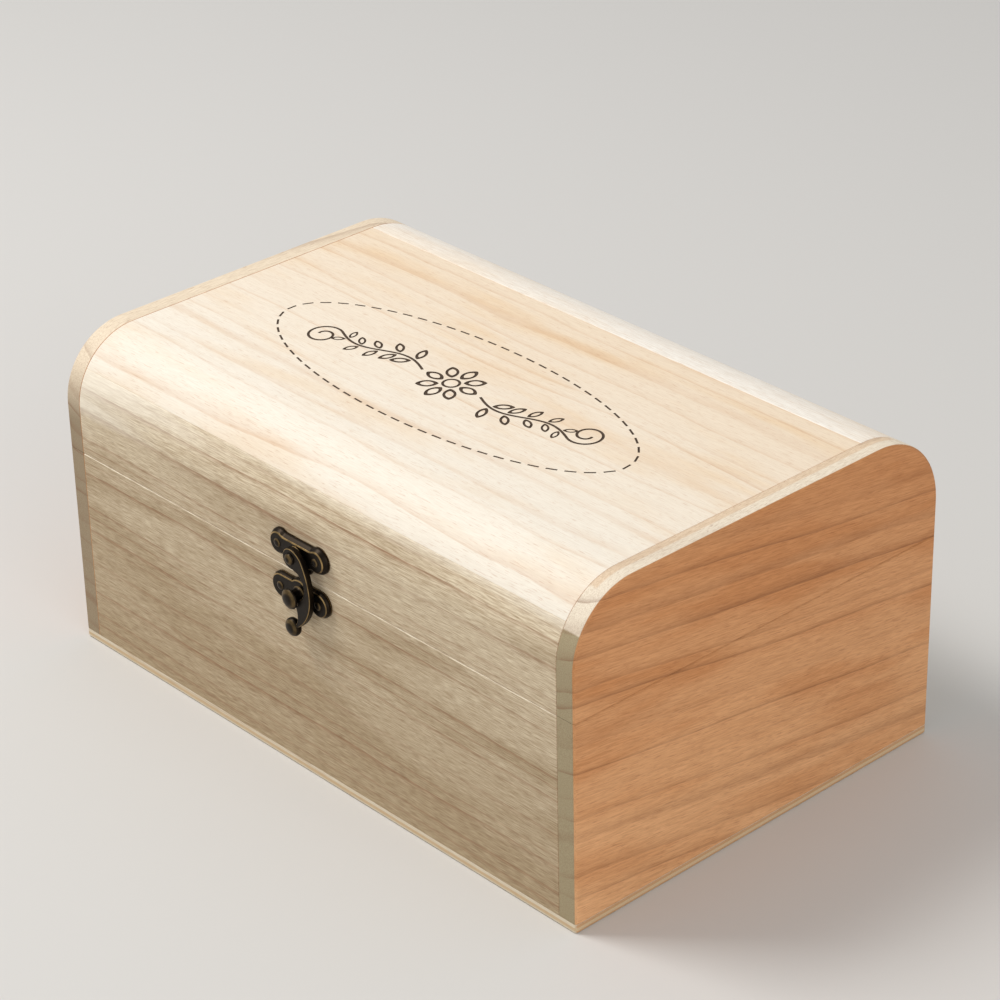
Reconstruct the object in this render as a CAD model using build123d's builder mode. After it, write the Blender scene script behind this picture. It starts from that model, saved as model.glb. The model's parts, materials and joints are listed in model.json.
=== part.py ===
from build123d import *
import os

# A wooden keepsake box with a rounded lid, a cast swing-hook latch on the front and two stop hinges behind.
# The box is glued up closed and then sawn level into a base and a lid.
# Origin: centre of the bottom face. +X to the right along the front, +Y to the back, +Z up. Millimetres.

# Box
LENGTH = 300.0
DEPTH = 196.0
HEIGHT = 142.0
FRONT_RADIUS = 30.0
BACK_RADIUS = 35.0
END_THICKNESS = 9.0
WALL_THICKNESS = 9.0
BOTTOM_THICKNESS = 4.0
SEAM_HEIGHT = 91.7
SAW_CUT = 0.2
TOP_BOARD_UNDERSIDE = 128.7
BACK_RAIL_WIDTH = 36.0
CORNER_EASE = 0.9
BOTTOM_EASE = 0.6

# Latch: the plates of the lid and the base, each with an ear at both ends, and what turns or stands on them.
# Thicknesses and faces are measured outwards from the front of the box.
EAR_REACH = 11.2
EAR_RADIUS = 5.6
INNER_CORNER_RADIUS = 2.4
LATCH_PLATE_THICKNESS = 3.0
LATCH_EAR_HEIGHT = 102.7
LATCH_PLATE_TOP = 107.4
LATCH_PLATE_FOOT = 99.7
LATCH_PLATE_DRAFT = (1.9, 1.3)  # the casting's sloped rim: how deep, and how far in over its face
LATCH_LOBE_HEIGHT = 99.6
LATCH_LOBE_RADIUS = 7.6
PIVOT_HEIGHT = 101.2
PIVOT_BOSS_RADIUS = 3.8
PIVOT_BOSS_FACE = 3.6
RIVET_RADIUS = 1.6
RIVET_HEAD_RADIUS = 2.5
RIVET_HEAD_RISE = 1.4
KEEPER_THICKNESS = 2.6
KEEPER_EAR_HEIGHT = 83.5
KEEPER_TOP = 89.1
KEEPER_FOOT = 79.9
KEEPER_DRAFT = (1.4, 0.7)
KEEPER_LOBE_RADIUS = 6.6
POST_HEIGHT = 84.0
POST_TENON_RADIUS = 1.8
POST_RADIUS = 2.8
POST_COLLAR_RADIUS = 3.6
POST_COLLAR_RISE = 0.8
POST_HEAD_BACK = 6.6
POST_CROWN = ((2.0, 8.9), (3.5, 8.4), (4.3, 7.3))  # the head's radius and height, from crown to rim
NAIL_RADIUS = 0.9
NAIL_HEAD_RADIUS = 1.9
NAIL_HEAD_RISE = 0.6
NAIL_LENGTH = 7.0

# Hook, cast 2.5 thick; its outline is given from the centre of the pivot
HOOK_BACK = 3.7
HOOK_THICKNESS = 2.5
HOOK_FACE = HOOK_BACK + HOOK_THICKNESS
HOOK_EYE_RADIUS = 4.4
HOOK_SHOULDER = (6.6, 0.6)
HOOK_FLANK = (10.8, -13.0)
HOOK_TAIL = (1.4, -30.4)
HOOK_NECK = (2.5, -26.0)
HOOK_THROAT = (7.1, -9.2)
HOOK_LIP_RADIUS = 1.2
HOOK_NOTCH_RADIUS = 3.4
HOOK_NOTCH_START = -62.0
HOOK_NOTCH_SWEEP = 67.0
KNOB_CENTRE = (-1.5, -31.2)
KNOB_RADIUS = 3.9
KNOB_INSET = 0.3
KNOB_THICKNESS = 4.4

# Hinges, two of them on the back, each with a pair of stop flanges
HINGE_X = 95.0
HINGE_LENGTH = 30.0
LEAF_HEIGHT = 13.6
LEAF_THICKNESS = 1.0
LEAF_CORNER_RADIUS = 2.5
KNUCKLE_COUNT = 3
KNUCKLE_RADIUS = 2.0
KNUCKLE_GAP = 0.2
KNUCKLE_STANDOFF = 0.3
LEAF_NOTCH = 1.9  # from the hinge's axis to the edge of a leaf, beside the other leaf's knuckle
FLANGE_NOTCH = 2.3
STOP_ANGLE = 50.4
STOP_REACH = 6.2
PIN_RADIUS = 1.0
SCREW_SPACING = 19.0
SCREW_OFFSET = 8.4
SCREW_RADIUS = 0.9
SCREW_HEAD_RADIUS = 1.7
SCREW_HEAD_RISE = 0.6
SCREW_LENGTH = 7.0

# Nails and screws are all alike but for their sizes: a low round head, on a shank drawn with eight sides
SHANK_SIDES = 8

# Fits
DRIVEN = 0.02  # what a driven nail or a pressed pin is drawn clear of its hole
RUNNING = 0.06  # what a hinge pin has round it in the leaf that turns
LOOSE = 0.08  # what the hook's rivet has round it

# How a solid stands on its plane: centred on the origin, and rising from it
ON_THE_PLANE = (Align.CENTER, Align.CENTER, Align.MIN)

# Worked out from the sizes above
FRONT_Y = -DEPTH / 2
BACK_Y = DEPTH / 2
INNER_LENGTH = LENGTH - 2 * END_THICKNESS
BASE_TOP = SEAM_HEIGHT - SAW_CUT / 2
LID_FOOT = SEAM_HEIGHT + SAW_CUT / 2
BACK_RAIL_Y = BACK_Y - BACK_RAIL_WIDTH
BACK_RAIL_FOOT = HEIGHT - BACK_RAIL_WIDTH
KNUCKLE_PITCH = HINGE_LENGTH / KNUCKLE_COUNT
HINGE_AXIS_Y = BACK_Y + KNUCKLE_STANDOFF + KNUCKLE_RADIUS

# On the front face local x is X, on the back face it is -X, and on both local y is Z
FRONT_FACE = Plane(origin=(0, FRONT_Y, 0), x_dir=(1, 0, 0), z_dir=(0, -1, 0))
BACK_FACE = Plane(origin=(0, BACK_Y, 0), x_dir=(-1, 0, 0), z_dir=(0, 1, 0))

os.makedirs("parts", exist_ok=True)


def save(piece, name):
    """Label a finished piece and write it."""
    piece.part.label = name
    export_step(piece.part, f"parts/{name}.step")


def box_section(y_low, y_high, z_low, z_high):
    """The part of the closed box's side view, with its rounded top corners, inside a rectangle."""
    with BuildSketch() as side_view:
        with Locations((0, BOTTOM_THICKNESS)):
            Rectangle(DEPTH, HEIGHT - BOTTOM_THICKNESS, align=(Align.CENTER, Align.MIN))
        fillet(side_view.vertices().group_by(Axis.Y)[-1].sort_by(Axis.X)[0], FRONT_RADIUS)
        fillet(side_view.vertices().group_by(Axis.Y)[-1].sort_by(Axis.X)[-1], BACK_RADIUS)
        with Locations((y_low, z_low)):
            Rectangle(y_high - y_low, z_high - z_low, align=(Align.MIN, Align.MIN), mode=Mode.INTERSECT)
    return side_view.sketch


def long_board(y_low, y_high, z_low, z_high):
    """A board that runs between the end panels, with that part of the side view as its section."""
    with BuildPart() as board:
        with BuildSketch(Plane.YZ):
            add(box_section(y_low, y_high, z_low, z_high))
        extrude(amount=INNER_LENGTH / 2, both=True)
    return board.part


def ears(height):
    """Where the two ears of a latch plate are, on the front face."""
    return Locations((-EAR_REACH, height), (EAR_REACH, height))


def screw_places(hinge_x, up):
    """Where one leaf has its two screws, on the back face: above the seam if up is 1, below it if -1."""
    height = SEAM_HEIGHT + up * SCREW_OFFSET
    return Locations((-hinge_x - SCREW_SPACING / 2, height), (-hinge_x + SCREW_SPACING / 2, height))


def shank(radius, length):
    """The shank of a nail or screw, or the shape of its hole, going down from z = 0."""
    with BuildPart() as prism:
        with BuildSketch():
            RegularPolygon(radius, SHANK_SIDES)
        extrude(amount=-length)
    return prism.part


def round_head_nail(shank_radius, head_radius, head_rise, length):
    """A nail or screw whose crowned head stands on z = 0."""
    with BuildPart() as nail:
        add(shank(shank_radius, length))
        Cone(head_radius, head_radius / 2, head_rise, align=ON_THE_PLANE)
    return nail.part


# ---- Base ----------------------------------------------------------------------------------------

with BuildPart() as bottom_board:
    Box(LENGTH, DEPTH, BOTTOM_THICKNESS, align=ON_THE_PLANE)
    chamfer(bottom_board.edges().filter_by(Axis.Z), CORNER_EASE)
    chamfer(bottom_board.faces().sort_by(Axis.Z)[0].edges(), BOTTOM_EASE)
save(bottom_board, "bottom_board")

with BuildPart() as base_front_board:
    add(long_board(FRONT_Y, FRONT_Y + WALL_THICKNESS, BOTTOM_THICKNESS, BASE_TOP))
    with Locations(FRONT_FACE), ears(KEEPER_EAR_HEIGHT):
        add(shank(NAIL_RADIUS + DRIVEN, NAIL_LENGTH - KEEPER_THICKNESS), mode=Mode.SUBTRACT)
save(base_front_board, "base_front_board")

with BuildPart() as base_back_board:
    add(long_board(BACK_Y - WALL_THICKNESS, BACK_Y, BOTTOM_THICKNESS, BASE_TOP))
    for hinge_x in (-HINGE_X, HINGE_X):
        with Locations(BACK_FACE), screw_places(hinge_x, -1):
            add(shank(SCREW_RADIUS + DRIVEN, SCREW_LENGTH - LEAF_THICKNESS), mode=Mode.SUBTRACT)
save(base_back_board, "base_back_board")

# Each end panel is a full side view of its half of the box, with its outside corner eased and its seam crisp.
for side, outwards in (("left", -1), ("right", 1)):
    for half, low, high in (("base", BOTTOM_THICKNESS, BASE_TOP), ("lid", LID_FOOT, HEIGHT)):
        with BuildPart() as end_panel:
            with BuildSketch(Plane.YZ.offset(outwards * LENGTH / 2)):
                add(box_section(FRONT_Y, BACK_Y, low, high))
            extrude(amount=-outwards * END_THICKNESS)
            outside = end_panel.faces().filter_by(Axis.X).sort_by(Axis.X, reverse=outwards > 0)[0]
            crisp_heights = [BOTTOM_THICKNESS, BASE_TOP, LID_FOOT]
            chamfer(
                outside.edges().filter_by(lambda edge: round(edge.center().Z, 3) not in crisp_heights),
                CORNER_EASE,
            )
        save(end_panel, f"{half}_{side}_end")

# ---- Lid -----------------------------------------------------------------------------------------

with BuildPart() as lid_front_board:
    add(long_board(FRONT_Y, FRONT_Y + WALL_THICKNESS, LID_FOOT, TOP_BOARD_UNDERSIDE))
    with Locations(FRONT_FACE), ears(LATCH_EAR_HEIGHT):
        add(shank(NAIL_RADIUS + DRIVEN, NAIL_LENGTH - LATCH_PLATE_THICKNESS), mode=Mode.SUBTRACT)
save(lid_front_board, "lid_front_board")

with BuildPart() as lid_back_board:
    add(long_board(BACK_Y - WALL_THICKNESS, BACK_Y, LID_FOOT, BACK_RAIL_FOOT))
    for hinge_x in (-HINGE_X, HINGE_X):
        with Locations(BACK_FACE), screw_places(hinge_x, 1):
            add(shank(SCREW_RADIUS + DRIVEN, SCREW_LENGTH - LEAF_THICKNESS), mode=Mode.SUBTRACT)
save(lid_back_board, "lid_back_board")

# The top board lies on the front board, and its front edge is rounded over with it.
with BuildPart() as lid_top_board:
    add(long_board(FRONT_Y, BACK_RAIL_Y, TOP_BOARD_UNDERSIDE, HEIGHT))
save(lid_top_board, "lid_top_board")

# The rail that makes the rounded back edge is hollowed by a cove, from the top board down to the back board.
with BuildPart() as lid_back_rail:
    add(long_board(BACK_RAIL_Y, BACK_Y, BACK_RAIL_FOOT, HEIGHT))
    with BuildSketch(Plane.YZ):
        cove_top = (BACK_RAIL_Y, TOP_BOARD_UNDERSIDE)
        cove_foot = (BACK_Y - WALL_THICKNESS, BACK_RAIL_FOOT)
        with BuildLine():
            RadiusArc(cove_top, cove_foot, cove_foot[0] - cove_top[0])
            Polyline(cove_foot, (BACK_RAIL_Y, BACK_RAIL_FOOT), cove_top)
        make_face()
    extrude(amount=INNER_LENGTH / 2, both=True, mode=Mode.SUBTRACT)
save(lid_back_rail, "lid_back_rail")

# ---- Latch ---------------------------------------------------------------------------------------

# The lid's plate: two round ears, a straight top edge that dips between them, and a lobe under the pivot.
with BuildPart() as latch_plate:
    with BuildSketch(FRONT_FACE) as plate_outline:
        with ears(LATCH_EAR_HEIGHT):
            Circle(EAR_RADIUS)
        with Locations((0, LATCH_PLATE_TOP)):
            Rectangle(2 * EAR_REACH, LATCH_PLATE_TOP - LATCH_PLATE_FOOT, align=(Align.CENTER, Align.MAX))
        with Locations((0, LATCH_LOBE_HEIGHT)):
            Circle(LATCH_LOBE_RADIUS)
        inner_corners = plate_outline.vertices().filter_by(lambda corner: abs(corner.X) < EAR_REACH)
        fillet(inner_corners, INNER_CORNER_RADIUS)
    extrude(amount=LATCH_PLATE_THICKNESS)
    chamfer(latch_plate.faces().filter_by(Axis.Y).sort_by(Axis.Y)[0].edges(), *LATCH_PLATE_DRAFT)
    with Locations(FRONT_FACE), Locations((0, PIVOT_HEIGHT)):
        Cylinder(PIVOT_BOSS_RADIUS, PIVOT_BOSS_FACE, align=ON_THE_PLANE)
    with Locations(FRONT_FACE.offset(PIVOT_BOSS_FACE)), Locations((0, PIVOT_HEIGHT)):
        Hole(RIVET_RADIUS + DRIVEN, PIVOT_BOSS_FACE)
    with Locations(FRONT_FACE.offset(LATCH_PLATE_THICKNESS)), ears(LATCH_EAR_HEIGHT):
        add(shank(NAIL_RADIUS + DRIVEN, LATCH_PLATE_THICKNESS), mode=Mode.SUBTRACT)
save(latch_plate, "latch_plate")

with BuildPart() as latch_plate_nails:
    with Locations(FRONT_FACE.offset(LATCH_PLATE_THICKNESS)), ears(LATCH_EAR_HEIGHT):
        add(round_head_nail(NAIL_RADIUS, NAIL_HEAD_RADIUS, NAIL_HEAD_RISE, NAIL_LENGTH))
save(latch_plate_nails, "latch_plate_nails")

# The base's plate, with a straight top edge under the seam, and a lobe round the post.
with BuildPart() as keeper_plate:
    with BuildSketch(FRONT_FACE):
        with ears(KEEPER_EAR_HEIGHT):
            Circle(EAR_RADIUS)
        with Locations((0, KEEPER_TOP)):
            Rectangle(2 * EAR_REACH, KEEPER_TOP - KEEPER_FOOT, align=(Align.CENTER, Align.MAX))
        with Locations((0, POST_HEIGHT)):
            Circle(KEEPER_LOBE_RADIUS)
    extrude(amount=KEEPER_THICKNESS)
    chamfer(keeper_plate.faces().filter_by(Axis.Y).sort_by(Axis.Y)[0].edges(), *KEEPER_DRAFT)
    with Locations(FRONT_FACE.offset(KEEPER_THICKNESS)), Locations((0, POST_HEIGHT)):
        Hole(POST_TENON_RADIUS + DRIVEN, KEEPER_THICKNESS)
    with Locations(FRONT_FACE.offset(KEEPER_THICKNESS)), ears(KEEPER_EAR_HEIGHT):
        add(shank(NAIL_RADIUS + DRIVEN, KEEPER_THICKNESS), mode=Mode.SUBTRACT)
save(keeper_plate, "keeper_plate")

with BuildPart() as keeper_nails:
    with Locations(FRONT_FACE.offset(KEEPER_THICKNESS)), ears(KEEPER_EAR_HEIGHT):
        add(round_head_nail(NAIL_RADIUS, NAIL_HEAD_RADIUS, NAIL_HEAD_RISE, NAIL_LENGTH))
save(keeper_nails, "keeper_nails")

# The post: a tenon through the plate, a collar on it, a thick stem and a mushroom head that holds the hook.
with BuildPart() as keeper_post:
    with BuildSketch(Plane(origin=(0, FRONT_Y, POST_HEIGHT), x_dir=(1, 0, 0), z_dir=(0, 0, -1))):
        with BuildLine():
            Polyline(
                (0, 0),
                (0, POST_CROWN[0][1]),
                *POST_CROWN,
                (POST_RADIUS, POST_HEAD_BACK),
                (POST_RADIUS, KEEPER_THICKNESS + POST_COLLAR_RISE),
                (POST_COLLAR_RADIUS, KEEPER_THICKNESS),
                (POST_TENON_RADIUS, KEEPER_THICKNESS),
                (POST_TENON_RADIUS, 0),
                close=True,
            )
        make_face()
    revolve(axis=Axis((0, FRONT_Y, POST_HEIGHT), (0, 1, 0)))
save(keeper_post, "keeper_post")

# The hook bows to the right round the post, holds it with a short beak, and ends in a finger knob.
pivot_plane = FRONT_FACE.shift_origin((0, FRONT_Y, PIVOT_HEIGHT))
post_centre = (0, POST_HEIGHT - PIVOT_HEIGHT)
with BuildPart() as latch_hook:
    with BuildSketch(pivot_plane.offset(HOOK_BACK)) as hook_outline:
        with BuildLine():
            crown = TangentArc((0, HOOK_EYE_RADIUS), HOOK_SHOULDER, tangent=(1, 0))
            back = TangentArc(crown @ 1, HOOK_FLANK, tangent=crown % 1)
            tail = TangentArc(back @ 1, HOOK_TAIL, tangent=back % 1)
            notch = CenterArc(post_centre, HOOK_NOTCH_RADIUS, HOOK_NOTCH_START, HOOK_NOTCH_SWEEP)
            neck = ThreePointArc(notch @ 0, HOOK_NECK, KNOB_CENTRE)
            throat = ThreePointArc(notch @ 1, HOOK_THROAT, (0, -HOOK_EYE_RADIUS))
            Line(tail @ 1, KNOB_CENTRE)
            Line(throat @ 1, crown @ 0)
        make_face()
        Circle(HOOK_EYE_RADIUS)
        with Locations(KNOB_CENTRE):
            Circle(KNOB_RADIUS - KNOB_INSET)
        fillet(hook_outline.vertices().sort_by_distance(notch @ 1)[0], HOOK_LIP_RADIUS)
    extrude(amount=HOOK_THICKNESS)
    with Locations(pivot_plane.offset(HOOK_BACK + HOOK_THICKNESS / 2)), Locations(KNOB_CENTRE):
        Cylinder(KNOB_RADIUS, KNOB_THICKNESS)
    with Locations(pivot_plane.offset(HOOK_FACE)):
        Hole(RIVET_RADIUS + LOOSE, HOOK_THICKNESS)
save(latch_hook, "latch_hook")

with BuildPart() as latch_rivet:
    with Locations(pivot_plane):
        Cylinder(RIVET_RADIUS, HOOK_FACE + LOOSE, align=ON_THE_PLANE)
    with Locations(pivot_plane.offset(HOOK_FACE + LOOSE)):
        Cone(RIVET_HEAD_RADIUS, RIVET_HEAD_RADIUS / 2, RIVET_HEAD_RISE, align=ON_THE_PLANE)
save(latch_rivet, "latch_rivet")

# ---- Hinges --------------------------------------------------------------------------------------

# The end knuckles belong to the base leaf and the middle one to the lid leaf. Each leaf carries a flange over
# the whole length of the hinge. The two flanges meet, and stop the lid, when it has turned twice STOP_ANGLE.
for side, hinge_x in (("left", -HINGE_X), ("right", HINGE_X)):
    hinge_axis = Location((hinge_x, HINGE_AXIS_Y, SEAM_HEIGHT), (0, 90, 0))  # local z is X
    knuckle_x = [(k + 0.5) * KNUCKLE_PITCH - HINGE_LENGTH / 2 for k in range(KNUCKLE_COUNT)]
    for half, up, own_x, other_x, bore in (
        ("base", -1, knuckle_x[0::2], knuckle_x[1::2], DRIVEN),
        ("lid", 1, knuckle_x[1::2], knuckle_x[0::2], RUNNING),
    ):
        with BuildPart() as leaf:
            with BuildSketch(BACK_FACE.shift_origin((hinge_x, BACK_Y, SEAM_HEIGHT))) as leaf_outline:
                with Locations((0, up * (SAW_CUT / 2 + LEAF_HEIGHT) / 2)):
                    Rectangle(HINGE_LENGTH, LEAF_HEIGHT - SAW_CUT / 2)
                fillet(leaf_outline.vertices().sort_by(Axis.Y, reverse=up > 0)[:2], LEAF_CORNER_RADIUS)
                with Locations([(-x, 0) for x in other_x]):
                    Rectangle(KNUCKLE_PITCH + KNUCKLE_GAP, 2 * LEAF_NOTCH, mode=Mode.SUBTRACT)
            extrude(amount=LEAF_THICKNESS)
            stop_plane = Plane(hinge_axis.position).rotated((up * STOP_ANGLE, 0, 0))
            with BuildSketch(stop_plane):  # its y points out of the hinge
                with Locations((0, STOP_REACH / 2)):
                    Rectangle(HINGE_LENGTH, STOP_REACH)
                with Locations([(x, 0) for x in other_x]):
                    Rectangle(KNUCKLE_PITCH + KNUCKLE_GAP, 2 * FLANGE_NOTCH, mode=Mode.SUBTRACT)
            extrude(amount=up * LEAF_THICKNESS)
            with Locations(hinge_axis), Locations([(0, 0, x) for x in own_x]):
                Cylinder(KNUCKLE_RADIUS, KNUCKLE_PITCH - KNUCKLE_GAP)
            with Locations(hinge_axis):
                Cylinder(PIN_RADIUS + bore, HINGE_LENGTH, mode=Mode.SUBTRACT)
            with Locations(BACK_FACE.offset(LEAF_THICKNESS)), screw_places(hinge_x, up):
                add(shank(SCREW_RADIUS + DRIVEN, LEAF_THICKNESS), mode=Mode.SUBTRACT)
        save(leaf, f"{side}_hinge_{half}_leaf")

        with BuildPart() as screws:
            with Locations(BACK_FACE.offset(LEAF_THICKNESS)), screw_places(hinge_x, up):
                add(round_head_nail(SCREW_RADIUS, SCREW_HEAD_RADIUS, SCREW_HEAD_RISE, SCREW_LENGTH))
        save(screws, f"{side}_hinge_{half}_screws")

    with BuildPart() as hinge_pin:
        with Locations(hinge_axis):
            Cylinder(PIN_RADIUS, HINGE_LENGTH)
    save(hinge_pin, f"{side}_hinge_pin")
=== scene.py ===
# %% [markdown]
# # A wooden keepsake box with a swing-hook latch
# The box is glued up from bare sanded boards, rounded over on top and sawn level into a base and a lid.
# The shapes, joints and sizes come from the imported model. This script gives every surface its finish, and makes
# finer meshes where the real thing is softer or richer than the model: eased board edges, a cast latch, domed
# nails, slotted screws and the engraving on the lid.

# %% Load the fixed frame
import json
import math

import bmesh
import bpy
from mathutils import Matrix, Vector

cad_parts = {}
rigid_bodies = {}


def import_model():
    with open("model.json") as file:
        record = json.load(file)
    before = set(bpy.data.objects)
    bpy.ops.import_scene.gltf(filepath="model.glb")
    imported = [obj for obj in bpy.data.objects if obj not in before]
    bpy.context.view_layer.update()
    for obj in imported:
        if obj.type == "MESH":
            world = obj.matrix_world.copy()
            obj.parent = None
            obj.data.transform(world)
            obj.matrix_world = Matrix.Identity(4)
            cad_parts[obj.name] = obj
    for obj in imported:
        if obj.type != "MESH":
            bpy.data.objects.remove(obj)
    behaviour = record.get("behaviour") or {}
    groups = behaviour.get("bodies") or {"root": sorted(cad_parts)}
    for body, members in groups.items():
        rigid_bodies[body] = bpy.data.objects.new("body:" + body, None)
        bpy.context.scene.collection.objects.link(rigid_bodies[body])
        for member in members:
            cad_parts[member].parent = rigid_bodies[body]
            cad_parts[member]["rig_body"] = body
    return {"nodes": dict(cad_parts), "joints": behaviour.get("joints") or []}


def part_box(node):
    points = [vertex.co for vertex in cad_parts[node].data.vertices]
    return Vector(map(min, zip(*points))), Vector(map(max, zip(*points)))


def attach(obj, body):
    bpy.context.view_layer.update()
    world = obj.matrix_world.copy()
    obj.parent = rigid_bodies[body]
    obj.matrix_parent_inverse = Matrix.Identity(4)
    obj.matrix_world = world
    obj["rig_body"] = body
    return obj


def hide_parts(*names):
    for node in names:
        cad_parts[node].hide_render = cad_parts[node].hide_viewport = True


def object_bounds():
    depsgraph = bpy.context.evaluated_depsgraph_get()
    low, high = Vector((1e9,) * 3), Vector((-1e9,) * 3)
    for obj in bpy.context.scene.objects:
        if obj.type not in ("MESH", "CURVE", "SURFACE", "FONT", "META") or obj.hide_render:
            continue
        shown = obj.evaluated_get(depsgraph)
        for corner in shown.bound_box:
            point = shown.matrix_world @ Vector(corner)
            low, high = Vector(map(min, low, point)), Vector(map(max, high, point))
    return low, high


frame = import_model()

MM = 0.001
cad_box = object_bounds()
top_z = cad_box[1].z
front_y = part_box("base_front_board")[0].y
pivot = Vector(next(j["pos_m"] for j in frame["joints"] if j["name"] == "hook_swing"))
print("box of the model in mm:", [[round(c / MM, 2) for c in corner] for corner in cad_box])

# %% [markdown]
# ## The camera
# The photograph was taken from the right of the front, a little above, with a long lens. The place, the three angles
# and the lens below were found by matching the straight edges of the box, so the render overlays the photograph.

# %% Camera at the photograph's viewing angle
CAMERA_PLACE = Vector((876.1, -789.8, 736.3)) * MM
CAMERA_AZIMUTH = math.radians(47.783)
CAMERA_ELEVATION = math.radians(28.855)
CAMERA_ROLL = math.radians(-1.281)
LENS = 120.42  # on a sensor 36 mm wide

camera_data = bpy.data.cameras.new("camera")
camera_data.lens = LENS
camera_data.clip_start = 0.05
camera = bpy.data.objects.new("camera", camera_data)
towards_camera = Vector((
    math.sin(CAMERA_AZIMUTH) * math.cos(CAMERA_ELEVATION),
    -math.cos(CAMERA_AZIMUTH) * math.cos(CAMERA_ELEVATION),
    math.sin(CAMERA_ELEVATION),
))
level = (-towards_camera).to_track_quat("-Z", "Y").to_matrix().to_4x4()
camera.matrix_world = Matrix.Translation(CAMERA_PLACE) @ level @ Matrix.Rotation(CAMERA_ROLL, 4, "Z")
bpy.context.scene.collection.objects.link(camera)
bpy.context.scene.camera = camera
bpy.context.scene.view_settings.view_transform = "Standard"
print("camera looks from", [round(c, 3) for c in camera.location])

# %% [markdown]
# ## Helpers for node trees
# Every material and every Geometry Nodes tree below is built from one helper that adds a node, sets it and feeds it.
# Colours are written as the sRGB hex values that a colour picker shows, and turned to the linear values that
# Blender's sockets take.


# %% Node and colour helpers
def tone(hex_code):
    """An sRGB hex colour as linear RGBA."""
    channels = [int(hex_code[i:i + 2], 16) / 255 for i in (1, 3, 5)]
    return (*[c / 12.92 if c <= 0.04045 else ((c + 0.055) / 1.055) ** 2.4 for c in channels], 1.0)


def feed(tree, node, inputs):
    """Gives a node's inputs constants, or links them to sockets. A node given as a source stands for its result."""
    for key, value in inputs.items():
        for source in value if isinstance(value, list) else [value]:
            if isinstance(source, bpy.types.Node):
                source = next(socket for socket in source.outputs if socket.enabled)
            if isinstance(source, bpy.types.NodeSocket):
                tree.links.new(source, node.inputs[key])
            else:
                node.inputs[key].default_value = source


def add(tree, kind, inputs=None, **settings):
    """Adds a node to a tree, sets its properties and feeds its inputs."""
    made = tree.nodes.new(kind)
    for name, value in settings.items():
        setattr(made, name, value)
    feed(tree, made, inputs or {})
    return made


MATH, VECTOR_MATH, MAP_RANGE, MIX = "ShaderNodeMath", "ShaderNodeVectorMath", "ShaderNodeMapRange", "ShaderNodeMix"
SPLIT, JOIN = "ShaderNodeSeparateXYZ", "ShaderNodeCombineXYZ"
MIX_FACTOR, MIX_A, MIX_B = 0, 6, 7  # the inputs of a Mix node that mixes colours
SMOOTH = {"interpolation_type": "SMOOTHSTEP"}


def new_material(name):
    """An empty material with its node tree and its Principled shader."""
    material = bpy.data.materials.new(name)
    material.use_nodes = True
    return material, material.node_tree, material.node_tree.nodes["Principled BSDF"]


print("cream", [round(c, 3) for c in tone("#FBF3E0")])

# %% [markdown]
# ## Paulownia, bare and sanded
# Boxes like this are made of paulownia, a fast-grown and very light wood: wide growth rings with thin dark late-wood
# lines, long soft fibres, and short open pores that look like dashes. A picture of wood could be wrapped round each
# board, but then the end grain would not meet the face grain. So the wood is made as a solid instead: each board is
# cut out of an imagined log whose heart runs past it, and every face shows the rings that it really cuts.

# %% The sizes of the grain
FIBRE_LENGTH, FIBRE_WIDTH = 7.0, 0.4  # mm; drawn about four times as coarse as real fibres, so that they show
PORE_LENGTH, PORE_WIDTH = 5.0, 0.32
FIGURE_LENGTH, FIGURE_WIDTH = 90.0, 16.0  # broad cloudy patches of colour
BEND_LENGTH, BEND_WIDTH = 150.0, 30.0  # how far a ring runs before it wanders
PORE_DEPTH = 0.05  # mm, the relief of the sanded surface
RING_SHARPNESS = 5.0  # the higher, the thinner the dark line that ends a year
KNOT_SPACING, KNOT_RADIUS, KNOT_SHARE = 45.0, 0.8, 0.3  # mm, mm, and how many of the places do have a pin knot
WOOD_IOR = 1.5


def log_space(tree, heart, fall, turn):
    """Object coordinates in millimetres as the log has them: X along the grain, and the heart of the log on X."""
    here = add(tree, "ShaderNodeTexCoord")
    scaled = add(tree, VECTOR_MATH, {0: here.outputs["Object"], "Scale": 1 / MM}, operation="SCALE")
    turned = add(
        tree, "ShaderNodeMapping",
        {0: scaled, "Location": heart, "Rotation": (0, math.radians(fall), math.radians(turn))},
        vector_type="TEXTURE",
    )
    return turned, here.outputs["Normal"], scaled


def streaks(tree, log, length, width, detail=2.0, crisp=0.5, output=0):
    """Noise that is stretched along the grain: marks about this long and this wide."""
    squeezed = add(tree, VECTOR_MATH, {0: log, 1: (1 / length, 1 / width, 1 / width)}, operation="MULTIPLY")
    noise = add(tree, "ShaderNodeTexNoise", {"Vector": squeezed, "Scale": 1.0, "Detail": detail, "Roughness": crisp})
    return noise.outputs[output]


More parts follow.
